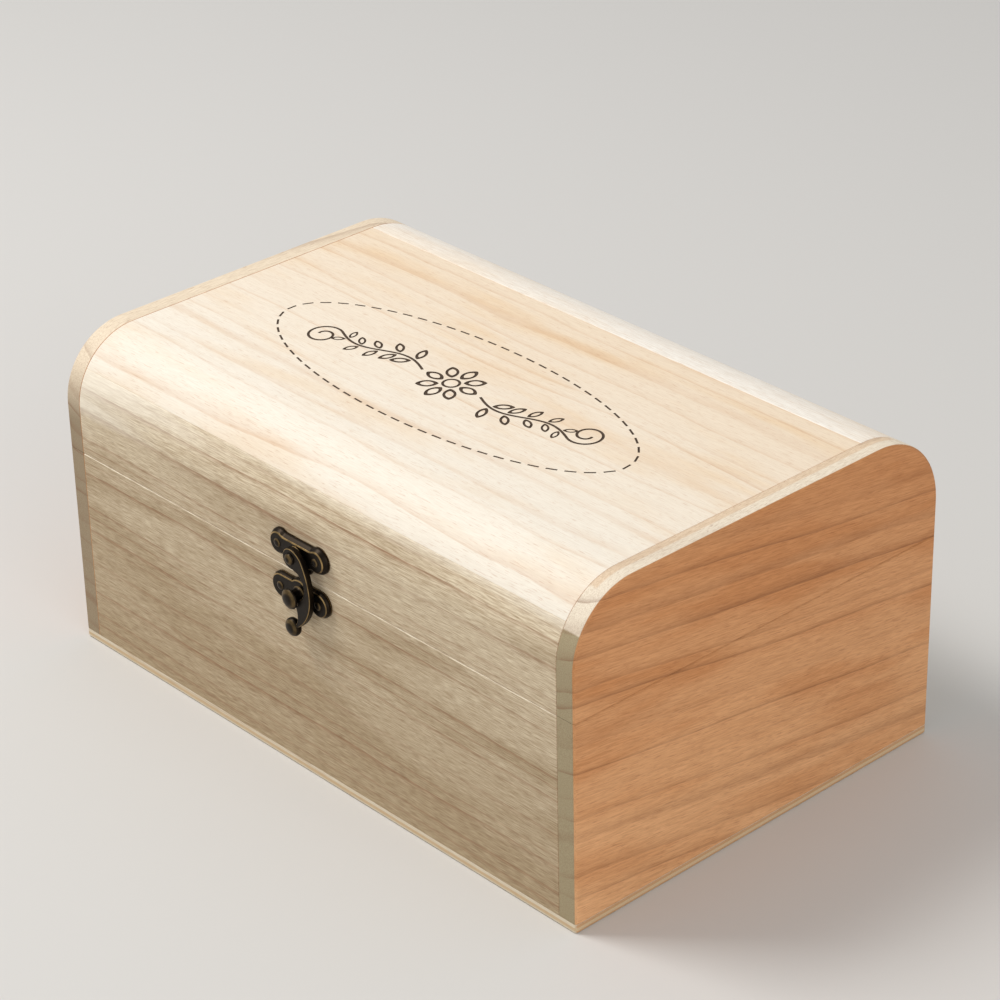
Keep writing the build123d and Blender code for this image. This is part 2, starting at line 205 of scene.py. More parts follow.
def growth_rings(tree, log, ring_width, bend):
    """How dark the late wood is, from 0 in spring wood to 1 on the line where a year ends, and the distance in mm
    from the heart of the log."""
    wander = streaks(tree, log, BEND_LENGTH, BEND_WIDTH, output=1)
    centred = add(tree, VECTOR_MATH, {0: wander, 1: (0.5, 0.5, 0.5)}, operation="SUBTRACT")
    bent = add(tree, VECTOR_MATH, {0: centred, 1: (0, bend, bend), 2: log}, operation="MULTIPLY_ADD")
    across = add(tree, VECTOR_MATH, {0: bent, 1: (0, 1, 1)}, operation="MULTIPLY")
    radius = add(tree, VECTOR_MATH, {0: across}, operation="LENGTH")
    years = add(tree, MATH, {0: radius, 1: ring_width}, operation="DIVIDE")
    weather = add(tree, "ShaderNodeTexNoise", {"W": years, "Scale": 0.45}, noise_dimensions="1D")
    uneven = add(tree, MATH, {0: weather, 1: 2.2, 2: years}, operation="MULTIPLY_ADD")
    season = add(tree, MATH, {0: uneven}, operation="FRACT")
    year = add(tree, MATH, {0: uneven}, operation="FLOOR")
    strength = add(tree, "ShaderNodeTexWhiteNoise", {"W": year}, noise_dimensions="1D")
    rise = add(tree, MAP_RANGE, {0: season, 1: 0.25, 2: 0.94})
    line = add(tree, MATH, {0: rise, 1: RING_SHARPNESS}, operation="POWER")
    end = add(tree, MAP_RANGE, {0: season, 1: 1.0, 2: 0.955}, **SMOOTH)
    dark = add(tree, MATH, {0: line, 1: end}, operation="MULTIPLY")
    share = add(tree, MAP_RANGE, {0: strength, 3: 0.3})
    mark = add(tree, MATH, {0: dark, 1: share}, operation="MULTIPLY")
    return mark, radius


print("fibres", FIBRE_LENGTH, "x", FIBRE_WIDTH, "mm, pores", PORE_LENGTH, "x", PORE_WIDTH, "mm")


def pin_knots(tree, log):
    """Small dark specks here and there, where a twig bud was grown over: 1 in a knot and 0 elsewhere."""
    cells = add(tree, "ShaderNodeTexVoronoi", {"Vector": log, "Scale": 1 / KNOT_SPACING})
    chance = add(tree, "ShaderNodeSeparateColor", {0: cells.outputs["Color"]})
    has_knot = add(tree, MATH, {0: chance, 1: KNOT_SHARE}, operation="LESS_THAN")
    rim = KNOT_RADIUS / KNOT_SPACING
    knot = add(tree, MAP_RANGE, {0: cells.outputs["Distance"], 1: 1.3 * rim, 2: 0.7 * rim}, **SMOOTH)
    return add(tree, MATH, {0: knot, 1: has_knot}, operation="MULTIPLY")


# %% The wood itself
FIBRE_SHADE = tone("#A88F72")
KNOT_TONE = tone("#5E3B22")


def paulownia(
    name, heart, turn, tones, ring_width, heartwood, fall=0.0, bend=9.0, ring_mark=0.6, figure_mark=0.5,
    fibre_mark=0.25, relief=PORE_DEPTH, faces=(), over=(),
):
    """Sanded paulownia: a matt, slightly silky surface, with rings, cloudy figure, fibres and open pores.

    tones are the pale wood, the late wood, the tint of figure and heartwood, and the pores. heartwood holds how far
    from the heart, in mm, the wood is all of that tint and where the tint ends. The marks say how strong each of the
    others is. faces holds the changes of tone under the grain, and over those that lie on it."""
    pale, late, cloud, pore = [tone(t) for t in tones]
    material, tree, shader = new_material(name)
    log, normal, place = log_space(tree, heart, fall, turn)
    ring, radius = growth_rings(tree, log, ring_width, bend)
    figure = streaks(tree, log, FIGURE_LENGTH, FIGURE_WIDTH, 3.0)
    fibre = streaks(tree, log, FIBRE_LENGTH, FIBRE_WIDTH, 2.0, 0.6)
    pores = streaks(tree, log, PORE_LENGTH, PORE_WIDTH, 1.0)

    patchy = add(tree, MAP_RANGE, {0: figure, 1: 0.3, 2: 0.62, 3: 0.35, 4: 1.0})
    ring_share = add(tree, MATH, {0: ring, 1: patchy}, operation="MULTIPLY")
    ring_share = add(tree, MATH, {0: ring_share, 1: ring_mark}, operation="MULTIPLY")
    patches = add(tree, MAP_RANGE, {0: figure, 1: 0.42, 2: 0.7, 4: figure_mark}, **SMOOTH)
    inner = add(tree, MAP_RANGE, {0: radius, 1: heartwood[1], 2: heartwood[0]})
    cloudy = add(tree, MATH, {0: patches, 1: inner}, operation="ADD", use_clamp=True)
    shade = add(tree, MAP_RANGE, {0: fibre, 1: 0.34, 2: 0.66, 4: fibre_mark})
    dash = add(tree, MAP_RANGE, {0: pores, 1: 0.6, 2: 0.72, 4: 0.3}, **SMOOTH)

    surface = add(tree, MIX, {MIX_FACTOR: cloudy, MIX_A: pale, MIX_B: cloud}, data_type="RGBA", blend_type="MULTIPLY")
    for facing in faces:
        surface = facing(tree, surface, normal, place)
    for share, colour, way in (
        (ring_share, late, "MIX"), (shade, FIBRE_SHADE, "MULTIPLY"),
        (dash, pore, "MIX"), (pin_knots(tree, log), KNOT_TONE, "MIX"),
    ):
        surface = add(tree, MIX, {MIX_FACTOR: share, MIX_A: surface, MIX_B: colour}, data_type="RGBA", blend_type=way)
    for change in over:
        surface = change(tree, surface, normal, place)
    height = add(tree, MATH, {0: dash, 1: -1.5, 2: fibre}, operation="MULTIPLY_ADD")
    bump = add(tree, "ShaderNodeBump", {"Strength": 0.6, "Distance": relief * MM, "Height": height})
    sheen = add(tree, MAP_RANGE, {0: fibre, 1: 0.25, 2: 0.75, 3: 0.52, 4: 0.7})
    feed(tree, shader, {"Base Color": surface, "Roughness": sheen, "Normal": bump, "IOR": WOOD_IOR})
    feed(tree, shader, {"Specular IOR Level": 0.35})
    print(f"{name}: rings {ring_width} mm apart, heart of the log at {heart} mm")
    return material


# %% [markdown]
# ## The boards of this box
# The photograph shows four kinds of board. The top and its back rail are almost white sapwood with peach streaks, the
# front is greyer and crossed by long taupe lines, the ends are orange-tan heartwood with clear rings, and the bottom
# is thin plywood. The ends change colour with the way that a face looks: grey-green end grain shows on their front
# edge, and their long upper edge and the upper part of their front edge get a paler tone, which is painted light
# from above on the rounding.

# %% Wood for each kind of board
ALONG_X, ALONG_Y = 0.0, 90.0
END_HIGHLIGHT_HEIGHT = 126.5  # mm, where the painted highlight on the upper part of an end panel's front edge begins
OFF_THE_FACE = (0.62, 0.45)  # how much X the normal has where the outer face of an end panel turns into its edges


def on_faces(off_x, full_off_x, colour, above=None, within=None, fade=0.3):
    """A change of tone on the faces whose normal has less of X than off_x, and all of it from full_off_x on.

    above is a height in mm that it starts at, within is how far it goes from the middle of the box, and fade is how
    far each of them is blurred to both sides."""
    def change(tree, surface, normal, place):
        parts = add(tree, SPLIT, {0: normal})
        size = add(tree, MATH, {0: parts.outputs["X"]}, operation="ABSOLUTE")
        share = add(tree, MAP_RANGE, {0: size, 1: off_x, 2: full_off_x}, **SMOOTH)
        where = add(tree, SPLIT, {0: place})
        reach = add(tree, MATH, {0: where.outputs["X"]}, operation="ABSOLUTE")
        for part, start, way in ((where.outputs["Z"], above, 1), (reach, within, -1)):
            if start is not None:
                over = add(tree, MAP_RANGE, {0: part, 1: start - fade * way, 2: start + fade * way})
                share = add(tree, MATH, {0: share, 1: over}, operation="MULTIPLY")
        return add(tree, MIX, {MIX_FACTOR: share, MIX_A: surface, MIX_B: tone(colour)}, data_type="RGBA")
    return change


def front_rounding_highlight(tree, surface, normal, place):
    """A painted highlight on the front board: paler near its upper edge, and from lower down towards its left, up to
    the joint with the top, as light from above brightens the rounding.
    """
    ragged = streaks(tree, place, FIGURE_LENGTH, FIGURE_WIDTH / 2, 4.0)
    where = add(tree, SPLIT, {0: place})
    lifted = add(tree, MATH, {0: ragged, 1: 30.0, 2: where.outputs["Z"]}, operation="MULTIPLY_ADD")
    leftwards = add(tree, MAP_RANGE, {0: where.outputs["X"], 1: -60.0, 2: -145.0, 4: 24.0})
    height = add(tree, MATH, {0: lifted, 1: leftwards}, operation="ADD")
    share = add(tree, MAP_RANGE, {0: height, 1: 137.0, 2: 160.0, 4: 0.7}, **SMOOTH)
    return add(tree, MIX, {MIX_FACTOR: share, MIX_A: surface, MIX_B: tone("#FBF0DC")}, data_type="RGBA")


def seam_highlight(tree, surface, normal, place):
    """A painted highlight: the eased edge along the saw cut that looks up is made paler below 95 mm, as light from
    above makes it.
    """
    parts = add(tree, SPLIT, {0: normal})
    where = add(tree, SPLIT, {0: place})
    raised = add(tree, MAP_RANGE, {0: parts.outputs["Z"], 1: 0.15, 2: 0.4})
    low = add(tree, MATH, {0: where.outputs["Z"], 1: 95.0}, operation="LESS_THAN")
    share = add(tree, MATH, {0: raised, 1: low}, operation="MULTIPLY")
    return add(tree, MIX, {MIX_FACTOR: share, MIX_A: surface, MIX_B: tone("#FFF1D8")}, data_type="RGBA")


FRONT_TONES = ("#EFDFC1", "#9A6238", "#D0C7BA", "#7C5636")
END_TONES = ("#EEB784", "#85532F", "#DFC7AE", "#8A4A26")

top_wood = paulownia(
    "sanded_paulownia_top", (0, 150, 55), ALONG_X, ("#F7EDDC", "#D2A274", "#F8E6D0", "#BF8657"), 10.0, (60, 230),
    bend=12.0, ring_mark=0.5, figure_mark=0.5, fibre_mark=0.12,
)
rail_wood = paulownia(
    "sanded_paulownia_rail", (60, 260, 40), ALONG_X, ("#FEF7EB", "#DEBB93", "#F8EAD8", "#CF9D6E"), 12.0, (60, 150),
    bend=8.0, ring_mark=0.4,
)
front_wood = paulownia(
    "sanded_paulownia_front", (30, -30, -150), ALONG_X, FRONT_TONES, 7.5, (165, 290),
    bend=9.0, ring_mark=0.8, figure_mark=0.6, fibre_mark=0.6, relief=0.08,
    # the front gets two painted highlights: one on its upper rounding and one on the eased edge of the saw cut
    faces=(front_rounding_highlight, seam_highlight), over=(front_rounding_highlight,),
)
back_wood = paulownia(
    "sanded_paulownia_back", (-80, 10, 290), ALONG_X, FRONT_TONES, 9.5, (120, 260),
    bend=10.0, fibre_mark=0.6, relief=0.08,
)
right_wood = paulownia(
    "sanded_paulownia_right_end", (105, 0, 262), ALONG_Y, END_TONES, 11.0, (110, 270),
    fall=7.8, ring_mark=0.6, fibre_mark=0.3,
    faces=(
        # the dark tone is end grain; the two pale ones are painted light: a painted highlight above the set height, and
        # the lit upper edge
        on_faces(*OFF_THE_FACE, "#AFA07F"), on_faces(*OFF_THE_FACE, "#F4E6CF", END_HIGHLIGHT_HEIGHT),
        on_faces(*OFF_THE_FACE, "#EBD2B3", 139.0, 144.6),
    ),
)
left_wood = paulownia(
    "sanded_paulownia_left_end", (-112, 0, 240), ALONG_Y, END_TONES, 10.0, (90, 200),
    fall=-3.0, fibre_mark=0.3,
    # the dark tone is end grain; the pale one, faded in from 106 to 130 mm, is painted light on the upper rounding
    faces=(on_faces(*OFF_THE_FACE, "#A69478"), on_faces(*OFF_THE_FACE, "#F3E1C6", 118.0, fade=12.0)),
)

# %% [markdown]
# ## Plywood
# The bottom is three thin sheets of wood glued crosswise. On the edge they show as a pale, a darker and a pale line,
# and the faces show the wide wavy figure of a sheet that was peeled off a turning log.

# %% Plywood, three plies
PLY_COUNT = 3


def plywood(name, thickness):
    """Bare plywood, a matt surface whose edge is striped where the grain of one ply looks out end on."""
    material, tree, shader = new_material(name)
    log, normal, place = log_space(tree, (0, 40, -90), 2.0, ALONG_X)
    height = add(tree, SPLIT, {0: place})
    ply = add(tree, MATH, {0: height.outputs["Z"], 1: PLY_COUNT / thickness}, operation="MULTIPLY")
    layer = add(tree, MATH, {0: ply, 1: 2.0}, operation="MODULO")
    core = add(tree, MAP_RANGE, {0: layer, 1: 0.97, 2: 1.03})
    inside = add(tree, MATH, {0: ply, 1: 2.0}, operation="LESS_THAN")
    core = add(tree, MATH, {0: core, 1: inside}, operation="MULTIPLY")
    ring, _ = growth_rings(tree, log, 7.0, 16.0)
    figure = add(tree, MATH, {0: ring, 1: 0.5}, operation="MULTIPLY")
    fibre = streaks(tree, log, FIBRE_LENGTH, FIBRE_WIDTH, 3.0)
    sheet = on_faces(0.8, 0.6, "#E6DAC2")(tree, tone("#CDA379"), normal, place)
    figured = add(tree, MIX, {MIX_FACTOR: figure, MIX_A: sheet, MIX_B: tone("#BE9A6C")}, data_type="RGBA")
    edge = add(tree, MIX, {MIX_FACTOR: core, MIX_A: figured, MIX_B: tone("#D9BF98")}, data_type="RGBA")
    shade = add(tree, MAP_RANGE, {0: fibre, 1: 0.3, 2: 0.7, 4: 0.3})
    surface = add(
        tree, MIX, {MIX_FACTOR: shade, MIX_A: edge, MIX_B: tone("#C8A577")}, data_type="RGBA", blend_type="MULTIPLY"
    )
    bump = add(tree, "ShaderNodeBump", {"Strength": 0.5, "Distance": PORE_DEPTH * MM, "Height": fibre})
    rough = add(tree, MAP_RANGE, {0: fibre, 3: 0.6, 4: 0.78})
    feed(tree, shader, {"Base Color": surface, "Roughness": rough, "Normal": bump, "IOR": WOOD_IOR})
    print(f"{name}: {PLY_COUNT} plies in {thickness:.1f} mm")
    return material


bottom_low, bottom_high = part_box("bottom_board")
ply_wood = plywood("bare_plywood", (bottom_high.z - bottom_low.z) / MM)

# %% [markdown]
# ## Easing the edges
# A real board has no razor edge: sandpaper rounds it by a few tenths of a millimetre, and it is this that catches
# the light and draws a fine line along every joint. Each board of the model is copied, its loose triangles are merged
# into whole flat faces, and a Bevel modifier eases the edges. Weighted normals keep the flat faces flat.

# %% Eased copies of the model's boards
WELD = 0.002 * MM
FLAT_ANGLE = math.radians(0.6)
EDGE_ANGLE = math.radians(28)
ROUND_WEIGHT = "bevel_weight_edge"


def merged_copy(node):
    """A node's mesh with its doubles merged and its flat faces whole, as a new mesh."""
    shape = bmesh.new()
    shape.from_mesh(frame["nodes"][node].data)
    bmesh.ops.remove_doubles(shape, verts=shape.verts, dist=WELD)
    bmesh.ops.dissolve_limit(shape, angle_limit=FLAT_ANGLE, verts=shape.verts, edges=shape.edges)
    mesh = bpy.data.meshes.new(f"eased_{node}")
    shape.to_mesh(mesh)
    shape.free()
    mesh.materials.clear()
    return mesh


def new_piece(name, mesh, material=None):
    """A new object at the origin, smooth shaded, with its material."""
    piece = bpy.data.objects.new(name, mesh)
    bpy.context.scene.collection.objects.link(piece)
    if material:
        mesh.materials.append(material)
    mesh.shade_smooth()
    return piece


def weigh_edges(mesh, weight_of):
    """Gives each sharp edge its share of the bevel's width: weight_of takes the edge's middle."""
    shape = bmesh.new()
    shape.from_mesh(mesh)
    weight = shape.edges.layers.float.new(ROUND_WEIGHT)
    chosen = 0
    for edge in shape.edges:
        if len(edge.link_faces) == 2 and edge.calc_face_angle() > EDGE_ANGLE:
            edge[weight] = weight_of((edge.verts[0].co + edge.verts[1].co) / 2)
            chosen += edge[weight] > 0
    shape.to_mesh(mesh)
    shape.free()
    return chosen


def ease(piece, width, steps, limit="ANGLE"):
    """Rounds the edges of a piece by a width in mm: every sharp edge, or the weighed ones where the limit is WEIGHT."""
    bevel = piece.modifiers.new("eased edges", "BEVEL")
    bevel.width = width * MM
    bevel.segments = steps
    bevel.limit_method = limit
    bevel.angle_limit = EDGE_ANGLE
    bevel.use_clamp_overlap = False


def keep_flats(piece):
    """Makes the large faces of a piece set the normals, so that they shade flat."""
    weighted = piece.modifiers.new("flat faces", "WEIGHTED_NORMAL")
    weighted.weight = 100
    weighted.keep_sharp = True


def settle(piece):
    """Turns what the modifiers make into the piece's own mesh."""
    evaluated = piece.evaluated_get(bpy.context.evaluated_depsgraph_get())
    mesh = bpy.data.meshes.new_from_object(evaluated)
    piece.modifiers.clear()
    piece.data = mesh
    return piece


def stand_for(piece, node):
    """Puts a piece in the place of a node: on its body, and with the node hidden."""
    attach(piece, frame["nodes"][node]["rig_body"])
    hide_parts(node)
    return piece


BOARD_EASE, BOARD_STEPS = 0.35, 3
SAWN_SHARE = 0.25  # of the easing, for the edges that the saw left when it parted the lid from the base
RUBBED_SHARE = 2.2  # for the sawn edge at the front of the base, which hands and sandpaper reach
boards = {
    "bottom_board": ply_wood, "base_front_board": front_wood, "lid_front_board": front_wood,
    "base_back_board": back_wood, "lid_back_board": back_wood, "base_left_end": left_wood,
    "lid_left_end": left_wood, "base_right_end": right_wood, "lid_right_end": right_wood,
    "lid_back_rail": rail_wood,
}
seam_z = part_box("base_front_board")[1].z


def board_share(node, place):
    """How much of the easing an edge of a board gets. Of the sawn edges, only the base's front one was sanded."""
    if abs(place.z - seam_z) > 0.5 * MM:
        return 1.0
    return RUBBED_SHARE if node == "base_front_board" else SAWN_SHARE


for node, material in boards.items():
    board = new_piece(f"eased_{node}", merged_copy(node), material)
    weigh_edges(board.data, lambda place: board_share(node, place))
    ease(board, BOARD_EASE, BOARD_STEPS, "WEIGHT")
    keep_flats(board)
    stand_for(board, node)
print("eased", len(boards), "boards by", BOARD_EASE, "mm")

# %% [markdown]
# ## The engraving on the lid
# A laser burns its line a few tenths of a millimetre into the top board and leaves it dark brown. The ornament here
# is a traditional one: two leafy sprays that leave a round flower and end in a scroll, inside a stitched oval. Leaves
# and stitches repeat along a path, so Geometry Nodes make them. All lines become thin upright bars, and a Boolean
# cuts the bars out of the board, so the engraving is real relief that shadows and meshes both show.

# %% Paths of the ornament
STROKE = 1.15  # mm
ENGRAVING_DEPTH = 0.3
ENGRAVING_CENTRE = Vector((-6, -14, 0)) * MM
SPRAY_START, SPRAY_END, SPRAY_RISE = 17.0, 66.0, 3.6
SCROLL_RADIUS, SCROLL_TURNS = 8.0, 1.35
OVAL = (98.0, 36.0)  # half width and half depth
OVAL_MARGIN = 4  # mm round the oval that still counts as engraved
CUT_CREASE = math.radians(60)
PATH_STEPS = 48


def path(name, points, cyclic=False):
    """A curve on the top of the lid through points in mm, measured from the centre of the engraving."""
    curve = bpy.data.curves.new(name, "CURVE")
    curve.dimensions = "3D"
    line = curve.splines.new("POLY")
    line.points.add(len(points) - 1)
    for point, (x, y) in zip(line.points, points):
        point.co = (ENGRAVING_CENTRE.x + x * MM, ENGRAVING_CENTRE.y + y * MM, top_z, 1)
    line.use_cyclic_u = cyclic
    made = bpy.data.objects.new(name, curve)
    bpy.context.scene.collection.objects.link(made)
    return made


def spray_points(side):
    """A stem that swings once out from the flower and then rolls up into a scroll."""
    points = []
    for i in range(PATH_STEPS):
        t = i / PATH_STEPS
        points.append((SPRAY_START + (SPRAY_END - SPRAY_START) * t, SPRAY_RISE * math.sin(2 * math.pi * t) * -1))
    slope = math.atan2(-SPRAY_RISE * 2 * math.pi, SPRAY_END - SPRAY_START)
    centre = Vector((SPRAY_END, 0)) + SCROLL_RADIUS * Vector((-math.sin(slope), math.cos(slope)))
    for i in range(PATH_STEPS + 1):
        t = i / PATH_STEPS
        angle = slope - math.pi / 2 + 2 * math.pi * SCROLL_TURNS * t
        radius = SCROLL_RADIUS * (1 - 0.72 * t)
        points.append((centre.x + radius * math.cos(angle), centre.y + radius * math.sin(angle)))
    return [(side * x, side * y) for x, y in points]


def oval_points(width, depth):
    """An ellipse."""
    turns = [2 * math.pi * i / (2 * PATH_STEPS) for i in range(2 * PATH_STEPS)]
    return [(width * math.cos(a), depth * math.sin(a)) for a in turns]


print("engraving", 2 * OVAL[0], "x", 2 * OVAL[1], "mm")

# %% [markdown]
# ## One tree for leaves along a path
# The tree sweeps a bar along the path for the stem, and stands leaves on points of the path. A leaf is the strip
# between two almonds, one inside the other, raised into a closed bar; an almond is a circle pulled out by a formula.
# A stitch is a plain short bar in the leaf's place. The sizes are named inputs, so the same tree makes the sprays, the
# petals and the heart of the flower, and the stitches.


# %% The leaf tree
def new_tree(name, sizes):
    """A Geometry Nodes tree with a geometry input and these named sizes, and a material."""
    tree = bpy.data.node_groups.new(name, "GeometryNodeTree")
    tree.interface.new_socket("Geometry", in_out="INPUT", socket_type="NodeSocketGeometry")
    for label, value in sizes.items():
        kind = "NodeSocketInt" if isinstance(value, int) else "NodeSocketFloat"
        tree.interface.new_socket(label, in_out="INPUT", socket_type=kind).default_value = value
    tree.interface.new_socket("Material", in_out="INPUT", socket_type="NodeSocketMaterial")
    tree.interface.new_socket("Geometry", in_out="OUTPUT", socket_type="NodeSocketGeometry")
    return tree, add(tree, "NodeGroupInput").outputs


def finish_tree(tree, geometry, material):
    """The tree's last nodes, which turn instances to real mesh and give it its material."""
    real = add(tree, "GeometryNodeRealizeInstances", {0: geometry})
    painted = add(tree, "GeometryNodeSetMaterial", {0: real, "Material": material})
    add(tree, "NodeGroupOutput", {0: painted})


def grown(source, tree, sizes, material, name):
    """What a tree makes of a source object, as a plain mesh in a new object. The source is removed."""
    modifier = source.modifiers.new("grown", "NODES")
    modifier.node_group = tree
    for item in tree.interface.items_tree:
        if item.in_out == "INPUT" and item.name in sizes:
            modifier[item.identifier] = sizes[item.name]
        if item.in_out == "INPUT" and item.name == "Material":
            modifier[item.identifier] = material
    evaluated = source.evaluated_get(bpy.context.evaluated_depsgraph_get())
    mesh = bpy.data.meshes.new_from_object(evaluated)
    bpy.data.objects.remove(source)
    piece = bpy.data.objects.new(name, mesh)
    bpy.context.scene.collection.objects.link(piece)
    return piece


LEAF_SIZES = {
    "Stroke": STROKE * MM, "Depth": 2 * ENGRAVING_DEPTH * MM, "Leaf Length": 9 * MM, "Leaf Width": 4.4 * MM,
    "Leaf Count": 5, "Stem Gap": 1.5 * MM, "Lean": 0.95, "First": 0.09, "Last": 0.46, "Tip Scale": 0.7, "Stem": 1,
    "Leaves": 1, "Both Sides": 1, "Stitch": 0,
}
LEAF_STEPS = 28
LEAF_POINT = 1.7  # how many strokes the inside of a leaf stops short of its point


def almond(tree, sizes, inset):
    """An almond that starts at the stem's gap and points along X. inset is how much smaller it is all round."""
    circle = add(tree, "GeometryNodeCurvePrimitiveCircle", {"Resolution": LEAF_STEPS, "Radius": 1.0})
    where = add(tree, "GeometryNodeInputPosition")
    parts = add(tree, SPLIT, {0: where})
    half_length = add(tree, MATH, {0: sizes["Leaf Length"], 1: 0.5}, operation="MULTIPLY")
    centre = add(tree, MATH, {0: half_length, 1: sizes["Stem Gap"]}, operation="ADD")
    half_width = add(tree, MATH, {0: sizes["Leaf Width"], 1: 0.5}, operation="MULTIPLY")
    reach = add(tree, MATH, {0: sizes["Stroke"], 1: -inset * LEAF_POINT, 2: half_length}, operation="MULTIPLY_ADD")
    girth = add(tree, MATH, {0: sizes["Stroke"], 1: -inset, 2: half_width}, operation="MULTIPLY_ADD")
    along = add(tree, MATH, {0: parts.outputs["X"], 1: reach, 2: centre}, operation="MULTIPLY_ADD")
    size = add(tree, MATH, {0: parts.outputs["Y"]}, operation="ABSOLUTE")
    full = add(tree, MATH, {0: size, 1: 0.5}, operation="POWER")
    belly = add(tree, MATH, {0: parts.outputs["Y"], 1: full}, operation="MULTIPLY")
    aside = add(tree, MATH, {0: belly, 1: girth}, operation="MULTIPLY")
    place = add(tree, JOIN, {0: along, 1: aside})
    return add(tree, "GeometryNodeSetPosition", {0: circle, "Position": place})


def leaf_tree():
    """Leaves, petals or stitches along a path."""
    tree, sizes = new_tree("leaves_on_a_path", LEAF_SIZES)
    bar = add(tree, "GeometryNodeCurvePrimitiveQuadrilateral", {"Width": sizes["Stroke"], "Height": sizes["Depth"]})
    stem = add(tree, "GeometryNodeCurveToMesh", {0: sizes["Geometry"], "Profile Curve": bar, "Fill Caps": True})
    stem = add(tree, "GeometryNodeSwitch", {0: sizes["Stem"], 2: stem}, input_type="GEOMETRY")

    outlines = add(tree, "GeometryNodeJoinGeometry", {0: [almond(tree, sizes, 0.0), almond(tree, sizes, 1.0)]})
    strip = add(tree, "GeometryNodeFillCurve", {0: outlines})
    rise = add(tree, JOIN, {2: sizes["Depth"]})
    raised = add(tree, "GeometryNodeExtrudeMesh", {0: strip, "Offset": rise, "Offset Scale": 1.0, "Individual": False})
    underside = add(tree, "GeometryNodeFlipFaces", {0: strip})
    both_faces = add(tree, "GeometryNodeJoinGeometry", {0: [raised, underside]})
    closed = add(tree, "GeometryNodeMergeByDistance", {0: both_faces, "Distance": 0.001 * MM})
    drop = add(tree, VECTOR_MATH, {0: rise, "Scale": -0.5}, operation="SCALE")
    leaf = add(tree, "GeometryNodeTransform", {0: closed, "Translation": drop})
    stitch_size = add(tree, JOIN, {0: sizes["Leaf Length"], 1: sizes["Stroke"], 2: sizes["Depth"]})
    stitch = add(tree, "GeometryNodeMeshCube", {"Size": stitch_size})
    leaf = add(tree, "GeometryNodeSwitch", {0: sizes["Stitch"], 1: leaf, 2: stitch}, input_type="GEOMETRY")

    stretch = add(
        tree, "GeometryNodeTrimCurve", {0: sizes["Geometry"], 2: sizes["First"], 3: sizes["Last"]}, mode="FACTOR"
    )
    stands = add(tree, "GeometryNodeCurveToPoints", {0: stretch, "Count": sizes["Leaf Count"]}, mode="COUNT")
    aligned = add(
        tree, "FunctionNodeAlignRotationToVector", {"Vector": stands.outputs["Tangent"]}, axis="X", pivot_axis="Z"
    )
    order = add(tree, "GeometryNodeInputIndex")
    last = add(tree, MATH, {0: sizes["Leaf Count"], 1: 1.0}, operation="SUBTRACT")
    share = add(tree, MAP_RANGE, {0: order, 2: last, 3: 1.0, 4: sizes["Tip Scale"]})
    girths = add(tree, JOIN, {0: share, 1: share, 2: 1.0})
    other_lean = add(tree, MATH, {0: sizes["Lean"], 1: -1.0}, operation="MULTIPLY")
    made = [stem]
    for lean, shown in ((sizes["Lean"], sizes["Leaves"]), (other_lean, sizes["Both Sides"])):
        turn = add(tree, JOIN, {2: lean})
        turned_way = add(tree, "FunctionNodeRotateRotation", {0: aligned, 1: turn}, rotation_space="LOCAL")
        row = add(
            tree, "GeometryNodeInstanceOnPoints",
            {0: stands, "Selection": shown, "Instance": leaf, "Rotation": turned_way,
             "Scale": girths},
        )
        made.append(row)
    joined = add(tree, "GeometryNodeJoinGeometry", {0: made})
    finish_tree(tree, joined, sizes["Material"])
    return tree


def charred(name):
    """Wood burnt by a laser: matt, dark brown, with the fibres still showing."""
    material, tree, shader = new_material(name)
    log, _, _ = log_space(tree, (0, 150, 55), 0.0, ALONG_X)
    fibre = streaks(tree, log, FIBRE_LENGTH / 2, FIBRE_WIDTH, 3.0)
    depth = add(tree, MAP_RANGE, {0: fibre, 1: 0.3, 2: 0.7})
    surface = add(tree, MIX, {MIX_FACTOR: depth, MIX_A: tone("#5E4935"), MIX_B: tone("#33261B")}, data_type="RGBA")
    bump = add(tree, "ShaderNodeBump", {"Strength": 0.6, "Distance": PORE_DEPTH * MM, "Height": fibre})
    feed(tree, shader, {"Base Color": surface, "Roughness": 0.85, "Normal": bump, "IOR": WOOD_IOR})
    return material


char = charred("laser_charred_wood")
leaves = leaf_tree()
print("leaf tree has", len(leaves.nodes), "nodes")

# %% [markdown]
# ## Cutting the ornament
# The two sprays, the petals, the ring at the heart of the flower and the stitched oval are made as bars, and one
# Boolean modifier takes them all out of the top board. The floor and the walls of the cut are then given the charred
# wood.

# %% Bars, and the engraved top board
PETALS = 8
PETAL_RING = 3.4
STITCHES = 60
STITCHING = {
    "Stroke": 0.9 * MM, "Leaf Length": 4.6 * MM, "Leaf Count": STITCHES, "Lean": 0.0, "First": 0.0,
    "Last": 1 - 1 / STITCHES, "Tip Scale": 1.0, "Stem": 0, "Both Sides": 0, "Stitch": 1,
}
PETALLING = {
    "Leaf Length": 9.4 * MM, "Leaf Width": 5.6 * MM, "Leaf Count": PETALS, "Lean": -math.pi / 2, "First": 0.0,
    "Last": 1 - 1 / PETALS, "Tip Scale": 1.0, "Stem": 0, "Both Sides": 0,
}
ring_points = oval_points(PETAL_RING, PETAL_RING)
oval = oval_points(*OVAL)
bars = [
    grown(path(f"spray_{i}", spray_points(side)), leaves, {}, char, f"spray_{i}") for i, side in enumerate((-1, 1))
]
bars.append(grown(path("heart", ring_points, True), leaves, {"Leaves": 0, "Both Sides": 0}, char, "heart"))
bars.append(grown(path("petals", [*ring_points, ring_points[0]]), leaves, PETALLING, char, "petals"))
bars.append(grown(path("stitches", [*oval, oval[0]]), leaves, STITCHING, char, "stitches"))
cutter_shape = bmesh.new()
